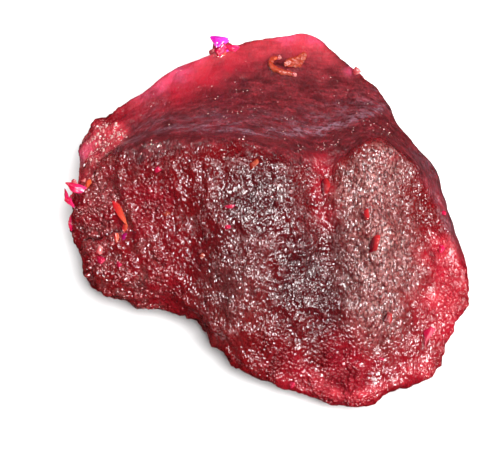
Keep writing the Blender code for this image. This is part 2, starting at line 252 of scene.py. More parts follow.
# Chips that cling to the stone: name, place from above (x, y), (length, width, height), turn of
# the long side from +X in degrees, and colour. Places and sizes are in millimetres, and each chip
# rests where the stone's surface is under it.
CHIPS = (
    ("rib_chip_upper", (10.7, -6.6), (1.3, 1.15, 1.0), 80, "red"),
    ("rib_chip_lower", (11.7, -9.1), (2.2, 1.15, 1.0), 58, "red"),
    ("front_chip_long", (17.8, -16.2), (2.6, 1.3, 0.8), 84, "pink"),
    ("front_chip_short", (13.2, -15.2), (1.6, 1.1, 0.7), 78, "red"),
    ("front_chip_tip", (12.6, -18.7), (0.8, 0.5, 0.4), 20, "pink"),
    ("front_edge_crumb", (2.9, -20.9), (1.1, 0.6, 0.5), 70, "pink"),
    ("right_edge_crumb", (19.9, -2.5), (0.8, 0.6, 0.4), 15, "pink"),
    ("right_edge_chip", (19.5, -6.9), (1.1, 0.9, 0.9), 100, "hot"),
    ("bulge_chip_upper", (-3.9, -5.8), (1.1, 0.45, 0.35), 5, "pink"),
    ("bulge_chip_lower", (-4.1, -7.8), (0.75, 0.55, 0.35), 40, "pink"),
    ("bulge_chip_orange", (-6.9, -9.3), (0.9, 0.7, 0.4), 70, "amber"),
    ("crest_chip", (-1.4, -1.5), (1.5, 0.9, 0.6), 75, "amber"),
    ("facet_crumb_pink", (-11.8, -0.6), (0.8, 0.75, 0.5), 0, "pink"),
    ("facet_crumb_orange", (-10.9, -4.6), (0.85, 0.6, 0.4), 10, "amber"),
    ("valley_chip", (6.5, -2.4), (2.4, 1.2, 0.6), 85, "red"),
    ("lobe_chunk_top", (-18.5, -6.7), (1.1, 0.8, 0.7), 95, "pale"),
    ("lobe_chunk_foot", (-18.3, -7.8), (1.2, 0.9, 0.7), 110, "pink"),
    ("lobe_knob", (-16.2, -8.7), (0.7, 0.7, 0.5), 0, "pink"),
    ("lobe_sliver_orange", (-16.2, -3.1), (3.4, 0.80, 0.6), 117, "coral"),
    ("lobe_sliver_red", (-15.6, -4.6), (1.5, 0.7, 0.5), 100, "coral"),
    ("lobe_sliver_plum", (-15.8, -5.6), (1.5, 0.65, 0.5), 80, "plum"),
    ("lobe_sliver_coral", (-16.5, -6.2), (1.1, 0.6, 0.5), 75, "coral"),
    ("lobe_top_chip", (-20.6, 5.4), (1.3, 0.6, 0.5), 70, "red"),
)

# A splinter whose long side rises at least this steeply stands upright.
UPRIGHT = 0.8

# Splinters and crumbs that stand out of the stone's edge, and knobs in the hollow: name, middle,
# (length, width, thickness), the direction of the long side, and colour.
SPLINTERS = (
    ("splinter_body", (-21.40, 0.60, 10.89), (2.7, 1.1, 1.0), (0.95, -0.27, 0.10), "hot"),
    ("splinter_tip", (-20.00, 1.05, 11.18), (1.7, 0.6, 0.6), (0.57, 0.80, 0.15), "orange"),
    ("splinter_knob_left", (-21.70, 1.75, 10.43), (0.7, 0.6, 0.6), (1.0, 0.0, 0.0), "pale"),
    ("splinter_knob_right", (-20.60, 1.65, 10.71), (0.7, 0.6, 0.7), (1.0, 0.2, 0.0), "pale"),
    ("thorn_tip", (-22.7, 0.9, 9.0), (1.6, 0.5, 0.5), (-0.35, 0.90, 0.15), "hot"),
    ("thorn_foot", (-22.2, -0.1, 8.9), (1.9, 0.8, 0.8), (-0.55, 0.80, 0.10), "hot"),
    ("left_edge_chip", (-22.2, -1.2, 6.3), (2.0, 0.8, 0.8), (0.05, 0.85, 0.45), "hot"),
    ("rim_crumb_cap", (-5.35, 20.9, 11.1), (2.3, 1.5, 1.5), (1.0, 0.05, -0.05), "magenta"),
    ("rim_crumb_body", (-5.20, 19.90, 10.50), (2.3, 1.7, 1.9), (0.15, -0.30, 0.95), "hot"),
    ("rim_crumb_left", (-6.20, 20.05, 10.13), (1.4, 0.9, 0.9), (-0.20, 0.10, 0.95), "pale"),
    ("rim_crumb_nub", (-4.60, 19.70, 10.52), (0.9, 0.9, 0.9), (1.0, 0.0, 0.3), "magenta"),
    ("rim_crumb_side", (-4.00, 20.05, 10.85), (2.0, 1.0, 1.1), (0.95, -0.05, -0.15), "hot"),
    ("rim_crumb_foot", (-5.10, 19.20, 10.75), (1.3, 0.7, 0.6), (1.0, 0.1, 0.0), "coral"),
    ("curl_knob_left", (1.68, 18.3, 11.5), (0.65, 0.6, 0.6), (1.0, 0.0, 0.0), "pale"),
    ("curl_knob_right", (3.40, 15.4, 12.1), (0.65, 0.6, 0.6), (1.0, 0.3, 0.0), "pale"),
    ("right_rim_knob", (10.75, 15.9, 12.1), (1.0, 0.9, 1.0), (0.3, -0.2, 1.0), "pale"),
)

# The curled flake in the hollow: the bow's places and radii, and the leaf at its end as middle,
# size and direction of the long side.
CURL_BOW = (((1.60, 18.35, 11.4), 0.20), ((0.90, 18.05, 11.8), 0.24), ((0.42, 17.20, 11.8), 0.34),
            ((0.85, 16.45, 11.9), 0.38), ((1.75, 15.95, 12.0), 0.36), ((2.60, 15.65, 12.0), 0.32),
            ((3.40, 15.45, 12.0), 0.20))
CURL_LEAF = ((3.80, 17.35, 11.95), (3.5, 1.7, 0.65), (2.0, 1.7, -0.2))
CURL_LEAF_UP = (0.1, -0.5, 0.85)
# The bow lies where x - y is less than this, and the leaf where it is more.
CURL_BOW_EDGE = (-14.5 * MM, -15.5 * MM)

# Places seen from above where crumbs lie thick, as (x, y, reach, how many, width) in millimetres.
CRUMB_NESTS = (
    (-18.4, 8.0, 2.0, 70, 0.55),     # the top of the left lobe
    (-17.0, 7.0, 1.3, 24, 0.50),
    (-19.4, 5.4, 1.6, 30, 0.45),
    (-20.0, 9.0, 1.6, 20, 0.40),
    (-18.8, 3.0, 1.6, 12, 0.35),
    (-12.6, 1.9, 1.2, 18, 0.30),     # the left end of the crest
    (-9.0, 11.5, 6.0, 30, 0.22),     # the hollow
    (6.0, 8.0, 8.0, 44, 0.22),
    (-2.0, 16.0, 4.0, 10, 0.24),
    (0.0, 3.0, 8.0, 40, 0.22),
    (7.0, 3.0, 1.5, 20, 0.30),
    (3.6, 1.9, 1.1, 10, 0.28),
    (-1.6, 8.8, 1.6, 9, 0.26),
    (13.0, 6.6, 2.0, 14, 0.24),
)

# The cluster of white crumbs at the front tip, painted as a glint, in the same way.
GLINT_NEST = (11.7, -20.3, 0.7, 20, 0.55)

# Where round grains cover the left lobe and the slope under it, in the same way.
GRAIN_NESTS = (
    (-19.2, -0.9, 2.4, 60, 0.66),
    (-18.4, -7.9, 2.2, 60, 0.70),
    (-15.8, -10.4, 2.3, 60, 0.66),
    (-13.0, -12.8, 2.2, 40, 0.60),
)

# The pieces that the crumbs make: name, nests, colour, and whether its crumbs are round.
# The sparkle crumbs and the white ones are painted pale, as glints.
CRUMB_PIECES = (
    ("crumbs", CRUMB_NESTS, "sparkle", False),
    ("tip_glint_crumbs", (GLINT_NEST,), "glint_white", False),
    ("lobe_grains", GRAIN_NESTS, "grain", True),
)

# A crumb's length, width and height, against the width that its nest gives. The power makes most
# crumbs small, and an uneven crumb's corners lie between these shares of its size from its middle.
CRUMB_SPANS = ((0.8, 1.9), (0.6, 1.2), (0.3, 0.7))
CRUMB_SMALLEST = 0.5
CRUMB_POWER = 2.2
CRUMB_CORNER_SPAN = (0.55, 1.25)

# Chip colours, as (shaded side, lit side): painted shade and light.
CHIP_COLOURS = {
    "red": ((0.07, 0.0006, 0.005), (0.42, 0.018, 0.020)),
    "pink": ((0.28, 0.002, 0.024), (0.52, 0.012, 0.062)),
    "grain": ((0.13, 0.004, 0.007), (0.34, 0.075, 0.080)),
    "glint_white": ((0.42, 0.140, 0.160), (0.85, 0.620, 0.640)),
    "hot": ((0.45, 0.004, 0.040), (0.75, 0.020, 0.140)),
    "magenta": ((0.46, 0.006, 0.290), (0.75, 0.075, 0.720)),
    "plum": ((0.14, 0.001, 0.030), (0.30, 0.003, 0.100)),
    "amber": ((0.16, 0.005, 0.002), (0.34, 0.058, 0.025)),
    "orange": ((0.34, 0.020, 0.005), (0.64, 0.100, 0.030)),
    "coral": ((0.45, 0.008, 0.014), (0.70, 0.095, 0.045)),
    "flake": ((0.26, 0.016, 0.004), (0.62, 0.100, 0.030)),
    "pale": ((0.36, 0.035, 0.045), (0.66, 0.230, 0.220)),
    "sparkle": ((0.36, 0.035, 0.045), (0.88, 0.560, 0.520)),
}

# How a chip is broken off a ball: the ball's radius, the number of cuts, and how far from its
# middle a cut passes, in millimetres.
CHIP_RADIUS = 0.54
CHIP_CUTS = 7
CHIP_CUT_SPAN = (0.16, 0.34)
CUT_THRESHOLD = 1e-7                 # the usual one is too coarse for a chip
CHIP_TAPER_SPAN = (-0.8, 0.8)
CHIP_MESH_STEP = 0.06 * MM
CHIP_BUMPS = ((0.24, 0.45 * MM), (0.14, 0.18 * MM))     # share of its size, and spacing
FLAKE_MESH_STEP = 0.08 * MM
FLAKE_BUMPS = ((0.12, 0.7 * MM), (0.10, 0.28 * MM))     # height in millimetres, and spacing
CHIP_EDGE_ANGLE = math.radians(28)   # sharper edges than this stay sharp
CHIP_RISE = 0.30                     # a chip's middle is this share of its height above the stone

# Lights: name, place, width and power, in metres and watts. All point at the middle of the stone.
LIGHTS = (
    ("key_light", (0.09, -0.19, 0.42), 0.22, 4.4),
    ("right_light", (0.50, -0.05, 0.24), 0.40, 1.2),
    ("left_light", (-0.34, 0.16, 0.26), 0.09, 0.35),
    ("glow_light", (-0.06, 0.42, 0.26), 0.30, 1.8),
)
LIGHT_TARGET = (0, -2 * MM, 9 * MM)
DAYLIGHT = 0.13
FLOOR_ROUGHNESS = 0.7
CAMERA_SENSOR_WIDTH = 36.0           # in millimetres
CAMERA_CLIP_START = 10 * MM

# What all colour settings and all small lengths share.
COLOUR = {"subtype": "COLOR", "size": 3, "min": 0, "max": 1}
SMALL_LENGTH = {"unit": "LENGTH", "precision": 5}


class StoneSettings(bpy.types.PropertyGroup):
    """Sizes and colours of the stone"""
    mesh_step: FloatProperty(
        name="Mesh step", description="Width of the mesh's faces, halved where the stone is rough",
        default=0.34 * MM, min=0.2 * MM, **SMALL_LENGTH)
    rib_height: FloatProperty(
        name="Rib height", description="Height of the ribs that run down the rough slope",
        default=0.16 * MM, **SMALL_LENGTH)
    rib_spacing: FloatProperty(
        name="Rib spacing", description="Distance between the ribs",
        default=1.4 * MM, **SMALL_LENGTH)
    grain_height: FloatProperty(
        name="Grain height", description="Height of the rounded grains on the rough faces",
        default=0.24 * MM, **SMALL_LENGTH)
    grain_spacing: FloatProperty(
        name="Grain spacing", description="Distance between the grains",
        default=0.66 * MM, **SMALL_LENGTH)
    streak_height: FloatProperty(
        name="Streak height", description="Height of the faint streaks that cross the hollow",
        default=0.05 * MM, **SMALL_LENGTH)
    # Also used for the painted shade between grains and in the grooves' beds.
    deep_and_shade_colour: FloatVectorProperty(
        name="Deep colour", description="Colour where the stone is thick",
        default=(0.042, 0.0030, 0.0046), **COLOUR)
    body_colour: FloatVectorProperty(
        name="Body colour", description="Colour of most of the rough stone",
        default=(0.140, 0.0035, 0.0052), **COLOUR)
    hollow_colour: FloatVectorProperty(
        name="Hollow colour", description="Colour of the streaks in the smooth hollow",
        default=(0.275, 0.0240, 0.0340), **COLOUR)
    hollow_dark_colour: FloatVectorProperty(
        name="Hollow dark colour", description="Colour between the streaks in the smooth hollow",
        default=(0.046, 0.0045, 0.0062), **COLOUR)
    # Painted sheen: pale streaks that stand in for the bright surroundings mirrored in the hollow.
    painted_sheen_colour: FloatVectorProperty(
        name="Haze colour", description="Colour of the pale streaks in the hollow",
        default=(0.230, 0.112, 0.148), **COLOUR)
    glow_colour: FloatVectorProperty(
        name="Glow colour", description="Colour where light gathers inside the stone",
        default=(0.380, 0.0065, 0.0210), **COLOUR)
    thin_colour: FloatVectorProperty(
        name="Thin colour", description="Colour where the stone is thin and light comes through",
        default=(0.560, 0.0400, 0.0600), **COLOUR)
    # Painted glow: pink on the thin edges, where light comes through.
    edge_glow_colour: FloatVectorProperty(
        name="Bloom colour", description="Colour of the pink bloom on the thin edges",
        default=(0.720, 0.0850, 0.200), **COLOUR)
    # The frosted skin: its colour is partly the skin's own and partly a painted sheen.
    frost_and_sheen_colour: FloatVectorProperty(
        name="Frost colour", description="Colour of the dull, crushed skin on the right faces",
        default=(0.355, 0.152, 0.142), **COLOUR)
    # Painted glints: pale spots that stand in for clusters of glints on the rough faces.
    painted_glint_colour: FloatVectorProperty(
        name="Crushed colour", description="Colour of the small crushed spots on the rough faces",
        default=(0.300, 0.150, 0.158), **COLOUR)
    roughness: FloatProperty(
        name="Roughness", description="Roughness of the grains' glossy tops",
        default=0.15, min=0, max=1)
    hollow_roughness: FloatProperty(
        name="Hollow roughness", description="Roughness of the smooth hollow",
        default=0.34, min=0, max=1)


class ChipSettings(bpy.types.PropertyGroup):
    """Finish and size of the chips and crumbs"""
    roughness: FloatProperty(
        name="Roughness", description="Roughness of the chips' broken faces",
        default=0.20, min=0, max=1)
    flake_roughness: FloatProperty(
        name="Flake roughness", description="Roughness of the curled flake",
        default=0.42, min=0, max=1)
    crumb_size: FloatProperty(
        name="Crumb size", description="How large the tiny crumbs are, against their usual size",
        default=1.0, min=0.1, max=3)


class StageSettings(bpy.types.PropertyGroup):
    """The floor and the camera"""
    floor_width: FloatProperty(
        name="Floor width", description="Width of the pale floor", default=1.6, unit="LENGTH")
    floor_colour: FloatVectorProperty(
        name="Floor colour", description="Colour of the floor",
        default=(0.80, 0.79, 0.79), **COLOUR)
    camera_height_angle: FloatProperty(
        name="Camera height angle", description="How far above the horizon the camera stands",
        default=math.radians(60), subtype="ANGLE")
    camera_distance: FloatProperty(
        name="Camera distance", description="From the camera to the point that it looks at",
        default=187.2 * MM, unit="LENGTH", precision=4)
    camera_target: FloatVectorProperty(
        name="Camera target", description="The point that the camera looks at",
        size=3, default=(-1.74 * MM, -4.42 * MM, 9.0 * MM), subtype="TRANSLATION", precision=5)
    lens: FloatProperty(
        name="Lens", description="Focal length in millimetres", default=120)


def only(obj):
    """Makes the object the only one selected, and active."""
    bpy.ops.object.select_all(action="DESELECT")
    obj.select_set(True)
    bpy.context.view_layer.objects.active = obj


def modify(obj, kind, **values):
    """Adds a modifier with these values and applies it."""
    only(obj)
    modifier = obj.modifiers.new(kind.lower(), kind)
    for name, value in values.items():
        setattr(modifier, name, value)
    bpy.ops.object.modifier_apply(modifier=modifier.name)


def finish_piece(piece, material):
    """Gives the piece its one material and its body."""
    piece.data.materials.clear()
    piece.data.materials.append(material)
    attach(piece, BODY)


def ramp(value, start, end):
    """0 before start, 1 after end and a smooth rise between."""
    share = np.clip((value - start) / (end - start), 0.0, 1.0)
    return share * share * (3 - 2 * share)


def coordinates(mesh):
    """The mesh's vertices as an array of rows."""
    places = np.empty(len(mesh.vertices) * 3, np.float32)
    mesh.vertices.foreach_get("co", places)
    return places.reshape(-1, 3).astype(float)


def normals_of(mesh):
    """The mesh's vertex normals as an array of rows."""
    found = np.empty(len(mesh.vertices) * 3, np.float32)
    mesh.vertex_normals.foreach_get("vector", found)
    return found.reshape(-1, 3).astype(float)


def surface_of(mesh):
    """The mesh's surface, ready for rays."""
    faces = [face.vertices for face in mesh.polygons]
    return BVHTree.FromPolygons(coordinates(mesh).tolist(), faces)


def move_to(mesh, places):
    """Puts the mesh's vertices at these places."""
    mesh.vertices.foreach_set("co", places.astype(np.float32).ravel())
    mesh.update()


def write_attribute(mesh, name, values):
    """Stores a number, or a row of three, for each vertex, for the finishes to read."""
    rows = np.ndim(values) > 1
    layer = mesh.attributes.new(name, "FLOAT_VECTOR" if rows else "FLOAT", "POINT")
    layer.data.foreach_set("vector" if rows else "value", np.asarray(values, np.float32).ravel())


def noise_at(places, spacing, stretch=(1, 1, 1), seed=0.0):
    """Smooth noise from -1 to 1 at each place, with bumps of about this spacing."""
    scaled = places / (np.array(stretch) * spacing) + seed
    return np.array([noise.noise(place) for place in scaled])


def grains_at(places, spacing, stretch=(1, 1, 1), seed=0.0):
    """Rounded grains at each place: 1 on a grain's top and 0 in the gap between grains."""
    scaled = places / (np.array(stretch) * spacing) + seed
    gaps = np.empty(len(scaled))
    for i, place in enumerate(scaled):
        nearest, second = noise.voronoi(place)[0][:2]
        gaps[i] = second - nearest
    return np.sqrt(np.clip(gaps * 1.6, 0.0, 1.0))


def share_near(spots, places):
    """How much each place belongs to the spots: their strength in their middle, fading outwards."""
    share = np.zeros(len(places))
    ragged = noise_at(places, 1.6 * MM, seed=5.0)
    for x, y, reach, strength in spots:
        away = np.hypot(places[:, 0] - x * MM, places[:, 1] - y * MM) / (reach * MM) + 0.25 * ragged
        share = np.maximum(share, strength * ramp(away, 1.35, 0.15))
    return share


def groove_shares(places):
    """For each groove its depth, and 1 in its bed and 0 away from it for each place."""
    shares = []
    wander = 0.25 * MM * noise_at(places, 1.2 * MM, seed=23.0)
    for depth, width, way in GROOVES:
        points = np.array(way) * MM
        away = np.full(len(places), np.inf)
        for start, end in zip(points[:-1], points[1:]):
            run = end - start
            along = np.clip((places[:, :2] - start) @ run / (run @ run), 0.0, 1.0)
            off_line = places[:, :2] - start - along[:, None] * run
            away = np.minimum(away, np.linalg.norm(off_line, axis=1))
        shares.append((depth * MM, np.exp(-((away + wander) / (width * MM)) ** 2)))
    return shares


def flow_of(places):
    """Each place's way along the hollow's streaks, its way across them, and its height."""
    across, away = (places[:, :2] - np.array(FLOW_CENTRE) * MM).T
    radius = np.hypot(across, away)
    along = FLOW_STRETCH * FLOW_RADIUS * MM * np.arctan2(across, away)
    return np.stack((along, radius, places[:, 2]), axis=1)


def painted_sheen_share(places, flow):
    """1 in the band of painted sheen in the hollow, and 0 away from it."""
    behind = behind_line(places, PAINTED_SHEEN_LINE) / MM + 0.5 * noise_at(places, 3.0 * MM, seed=14.0)
    band = np.exp(-(behind / 0.80) ** 2) + 0.35 * np.exp(-((behind - 2.6) / 1.5) ** 2)
    strands = 0.5 + 0.5 * noise_at(flow, 0.75 * MM, seed=4.0)
    patches = 0.5 + 0.5 * noise_at(places, 2.6 * MM, seed=17.0)
    streaked = 1.2 * band * ramp(strands, 0.20, 0.65) * ramp(patches, 0.10, 0.50)
    return np.clip(streaked + share_near(PAINTED_SHEEN_SPOTS, places), 0.0, 1.0)


def behind_line(places, line):
    """How many metres each place lies behind a line, which is given in millimetres from above."""
    stations, depths = np.array(line).T * MM
    return places[:, 1] - np.interp(places[:, 0], stations, depths)


def hollow_share(places, normals):
    """1 in the smooth hollow behind the rough slope and 0 on the rough faces."""
    broad, close = noise_at(places, 1.3 * MM, seed=9.0), noise_at(places, 0.45 * MM, seed=19.0)
    ragged = (0.5 * broad + 0.5 * close) * MM
    inside = ramp(places[:, 0] + ragged, *HOLLOW_LEFT_END)
    behind = behind_line(places, ROUGH_START) + ragged
    return ramp(behind, -0.7 * MM, 1.3 * MM) * ramp(normals[:, 2], -0.6, 0.1) * inside


def divide(obj, share, cuts):
    """Divides the faces whose corners all have a share over a half."""
    only(obj)
    bpy.ops.object.mode_set(mode="EDIT")
    bpy.ops.mesh.select_mode(type="FACE")
    bpy.ops.mesh.select_all(action="DESELECT")
    bpy.ops.object.mode_set(mode="OBJECT")
    for face in obj.data.polygons:
        face.select = bool(min(share[corner] for corner in face.vertices) > 0.5)
    bpy.ops.object.mode_set(mode="EDIT")
    bpy.ops.mesh.subdivide(number_cuts=cuts, ngon=False)
    bpy.ops.object.mode_set(mode="OBJECT")


def thinness(places, normals, surface, fade):
    """1 where the stone is a thin edge and near 0 where it is thick, found by rays through it."""
    tilts = [Matrix.Rotation(math.radians(turn), 3, axis) for turn, axis in RAY_TILTS]
    found = np.empty(len(places))
    for i, (place, normal) in enumerate(zip(places, normals)):
        inward = -Vector(normal)
        start = Vector(place) + inward * RAY_START_DEPTH
        through = 0.0
        for tilt in tilts:
            distance = surface.ray_cast(start, tilt @ inward)[3]
            through += math.exp(-(distance or 0.0) / fade)
        found[i] = through / len(tilts)
    return found


class Finish:
    """A new material, with one short call for each kind of node that the finishes use."""

    def __init__(self, name):
        self.material = bpy.data.materials.new(name)
        self.material.use_nodes = True
        self.shader = self.material.node_tree.nodes["Principled BSDF"]

    def add(self, kind, values=(), **settings):
        """A new node with these settings, and these values in its inputs."""
        made = self.material.node_tree.nodes.new(kind)
        for name, value in settings.items():
            setattr(made, name, value)
        for name, value in dict(values).items():
            made.inputs[name].default_value = value
        return made

    def feed(self, socket, value):
        """Links an output to the socket, or sets the socket to a number or a colour."""
        if isinstance(value, bpy.types.NodeSocket):
            self.material.node_tree.links.new(value, socket)
        elif isinstance(value, float):
            socket.default_value = value
        else:
            socket.default_value = (*value, 1.0)

    def place(self):
        """Each point's place on the object."""
        return self.add("ShaderNodeTexCoord").outputs["Object"]

    def attribute(self, name, output="Fac"):
        """A value that the mesh stores."""
        return self.add("ShaderNodeAttribute", attribute_name=name).outputs[output]

    def stretched(self, place, scale):
        """The place with its axes scaled."""
        made = self.add("ShaderNodeMapping", {"Scale": scale})
        self.feed(made.inputs["Vector"], place)
        return made.outputs["Vector"]

    def noise(self, place, scale, detail=2.0, roughness=0.5):
        """Cloudy noise from 0 to 1."""
        values = {"Scale": scale, "Detail": detail, "Roughness": roughness}
        made = self.add("ShaderNodeTexNoise", values)
        self.feed(made.inputs["Vector"], place)
        return made.outputs["Fac"]

    def round_cells(self, place, scale):
        """Close round cells: 0 in the middle of each, rising outwards as a bowl does."""
        made = self.add("ShaderNodeTexVoronoi", {"Scale": scale}, feature="F1")
        self.feed(made.inputs["Vector"], place)
        bowl = self.add("ShaderNodeMath", operation="POWER")
        self.feed(bowl.inputs[0], made.outputs["Distance"])
        self.feed(bowl.inputs[1], 2.0)
        return bowl.outputs[0]

    def mapped(self, value, low, high, to_low=0.0, to_high=1.0):
        """The value's part from low to high, spread from to_low to to_high and held at its ends."""
        made = self.add("ShaderNodeMapRange",
                        {"From Min": low, "From Max": high, "To Min": to_low, "To Max": to_high})
        self.feed(made.inputs["Value"], value)
        return made.outputs[0]

    def patches(self, place, name):
        """The cloudy patches that PATCHES has under this name."""
        scale, detail, *limits = PATCHES[name]
        return self.mapped(self.noise(place, scale, detail), *limits)

    def product(self, value, *factors):
        """The value times each of the factors."""
        for factor in factors:
            made = self.add("ShaderNodeMath", operation="MULTIPLY")
            self.feed(made.inputs[0], value)
            self.feed(made.inputs[1], factor)
            value = made.outputs[0]
        return value

    def mix(self, share, low, high):
        """The colour between low and high that the share gives."""
        made = self.add("ShaderNodeMix", data_type="RGBA")
        self.feed(made.inputs[0], share)
        self.feed(made.inputs[6], low)
        self.feed(made.inputs[7], high)
        return made.outputs[2]

    def bump(self, height, depth, strength, under=None, invert=False):
        """Relief of this depth, on top of the relief under it."""
        made = self.add("ShaderNodeBump", {"Distance": depth}, invert=invert)
        self.feed(made.inputs["Height"], height)
        self.feed(made.inputs["Strength"], strength)
        if under is not None:
            self.feed(made.inputs["Normal"], under)
        return made.outputs["Normal"]

    def shade(self, colour, relief, roughness, light):
        """Gives the shader these, with ruby's refraction, and returns the finished material."""
        inputs = self.shader.inputs
        self.feed(inputs["Base Color"], colour)
        self.feed(inputs["Normal"], relief)
        self.feed(inputs["Roughness"], roughness)
        inputs["IOR"].default_value = RUBY_IOR
        weight, reach, depth = light
        inputs["Subsurface Weight"].default_value = weight
        inputs["Subsurface Radius"].default_value = reach
        inputs["Subsurface Scale"].default_value = depth
        return self.material


def rough_colour(finish, place, look, grains, settings):
    """The broken faces' colour: deep red, in part frosted with a painted sheen, with painted glints
    in spots, and with painted shade between grains.
    """
    broken = finish.mapped(look["hollow"], 0.0, 0.6, 1.0, 0.0)
    thick = finish.product(look["deep"], finish.patches(place, "thick"))
    colour = finish.mix(thick, settings.body_colour, settings.deep_and_shade_colour)
    frost_and_sheen_share = finish.product(look["frost_and_sheen"], finish.patches(place, "frost_and_sheen"),
                             finish.patches(place, "frost_and_sheen_fleck"))
    colour = finish.mix(frost_and_sheen_share, colour, settings.frost_and_sheen_colour)
    # Painted glints, in pale spots, fewer on the pebbly faces and none in the hollow.
    painted_glints = finish.product(finish.patches(place, "painted_glint_spot"),
                             finish.patches(place, "painted_glint_fleck"),
                             finish.mapped(look["pebbly"], 0.0, 0.5, 0.55, 0.1), broken)
    colour = finish.mix(painted_glints, colour, settings.painted_glint_colour)
    # Painted shade: the gaps between the grains are darker, and more so where the skin is frosted.
    gaps = finish.product(finish.mapped(grains, 0.16, 0.50, 0.0, 0.75), broken,
                          finish.mapped(look["frost_and_sheen"], 0.0, 0.7, 0.25, 1.0))
    return finish.mix(gaps, colour, settings.deep_and_shade_colour)


def hollow_colour(finish, place, flow, look, colour, mottled, settings):
    """The colour, with the hollow's mottled streaks and a hair-fine painted sheen over it."""
    streaked = finish.mix(mottled, settings.hollow_dark_colour, settings.hollow_colour)
    colour = finish.mix(look["hollow"], colour, streaked)
    hairs = finish.mapped(finish.noise(flow, HAIRS_PER_METRE, 3.0, 0.6), 0.42, 0.56)
    sheened = finish.product(look["painted_sheen"], hairs, finish.patches(place, "painted_sheen_fleck"))
    return finish.mix(sheened, colour, settings.painted_sheen_colour)


def edge_colour(finish, place, look, colour, mottled, settings):
    """The colour, with the glow, the thin edges, a pink glow painted on them and painted shade in
    the grooves' beds.
    """
    lit = finish.product(look["glow"], finish.patches(place, "glow"))
    colour = finish.mix(lit, colour, settings.glow_colour)
    clear = finish.product(finish.mapped(look["thinness"], 0.16, 0.62),
                           finish.mapped(mottled, 0.0, 0.8, 0.62, 1.0),
                           finish.patches(place, "vein"))
    colour = finish.mix(clear, colour, settings.thin_colour)
    edge_glowing = finish.product(look["edge_glow"], finish.patches(place, "edge_glow"))
    colour = finish.mix(edge_glowing, colour, settings.edge_glow_colour)
    # Painted shade: the grooves' beds are darker.
    painted_groove_shade = finish.mapped(look["bed"], 0.42, 0.70, 0.0, 0.85)
    return finish.mix(painted_groove_shade, colour, settings.deep_and_shade_colour)


def fine_relief(finish, place, down_slope, look, grains, streaks):
    """Grains, the clumps that they lie in, round pebbles, the hollow's streaks and a fine tooth."""
    uneven = finish.product(finish.patches(place, "broad_relief"),
                            finish.patches(place, "close_relief"))
    grainy = finish.product(finish.mapped(look["smooth"], 0.0, 1.0, 1.0, 0.05),
                            finish.mapped(look["pebbly"], 0.0, 1.0, 1.0, 0.30))
    relief = finish.bump(grains, GRAIN_DEPTH, finish.product(uneven, grainy), invert=True)
    clumps = finish.noise(down_slope, CLUMPS_PER_METRE, 3.0)
    clumped = finish.mapped(look["pebbly"], 0.0, 1.0, 0.75, 0.35)
    relief = finish.bump(clumps, CLUMP_DEPTH, clumped, relief)
    pebbles = finish.round_cells(place, PEBBLES_PER_METRE)
    relief = finish.bump(pebbles, PEBBLE_DEPTH, look["tops"], relief, invert=True)
    relief = finish.bump(streaks, STREAK_DEPTH, look["hollow"], relief)
    toothed = finish.product(finish.mapped(look["hollow"], 0.0, 1.0, 0.8, 0.2),
                             finish.mapped(look["pebbly"], 0.0, 1.0, 1.0, 0.35))
    return finish.bump(finish.noise(place, TOOTH_PER_METRE), TOOTH_DEPTH, toothed, relief)


def ruby_skin(settings):
    """Deep red stone: dark where it is thick, glowing where it is thin, with fine glossy grains."""
    finish = Finish("ruby_skin")
    place = finish.place()
    look = {name: finish.attribute(name) for name in LOOKS}
    flow = finish.attribute("flow", "Vector")
    down_slope = finish.stretched(place, SLOPE_STRETCH)
    grains = finish.round_cells(down_slope, GRAINS_PER_METRE)
    streaks = finish.noise(flow, STREAKS_PER_METRE, 5.0, 0.62)
    mottled = finish.product(finish.mapped(streaks, 0.32, 0.68), finish.patches(place, "cloud"),
                             finish.patches(place, "mottle"))
    colour = rough_colour(finish, place, look, grains, settings)
    colour = hollow_colour(finish, place, flow, look, colour, mottled, settings)
    colour = edge_colour(finish, place, look, colour, mottled, settings)
    relief = fine_relief(finish, place, down_slope, look, grains, streaks)
    roughness = finish.mapped(look["hollow"], 0.5, 1.0,
                              settings.roughness, settings.hollow_roughness)
    return finish.shade(colour, relief, roughness, STONE_LIGHT)


def fine_stone(context, settings):
    """A copy of the solid as an even mesh, finer on the rough faces in front."""
    stone = bpy.data.objects.new("ruby_stone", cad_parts[SOLID].data.copy())
    context.scene.collection.objects.link(stone)
    only(stone)
    bpy.ops.object.mode_set(mode="EDIT")
    bpy.ops.mesh.select_all(action="SELECT")
    bpy.ops.mesh.remove_doubles(threshold=MERGE_DISTANCE)
    bpy.ops.object.mode_set(mode="OBJECT")
    modify(stone, "REMESH", mode="VOXEL", voxel_size=settings.mesh_step)
    places, normals = coordinates(stone.data), normals_of(stone.data)
    rough_front = (1 - hollow_share(places, normals)) * ramp(normals[:, 2], -0.10, 0.15)
    rough_front *= ramp(-behind_line(places, ROUGH_START), -0.4 * MM, 0.5 * MM)
    divide(stone, rough_front, 1)
    modify(stone, "SMOOTH", **SMOOTHING)
    return stone


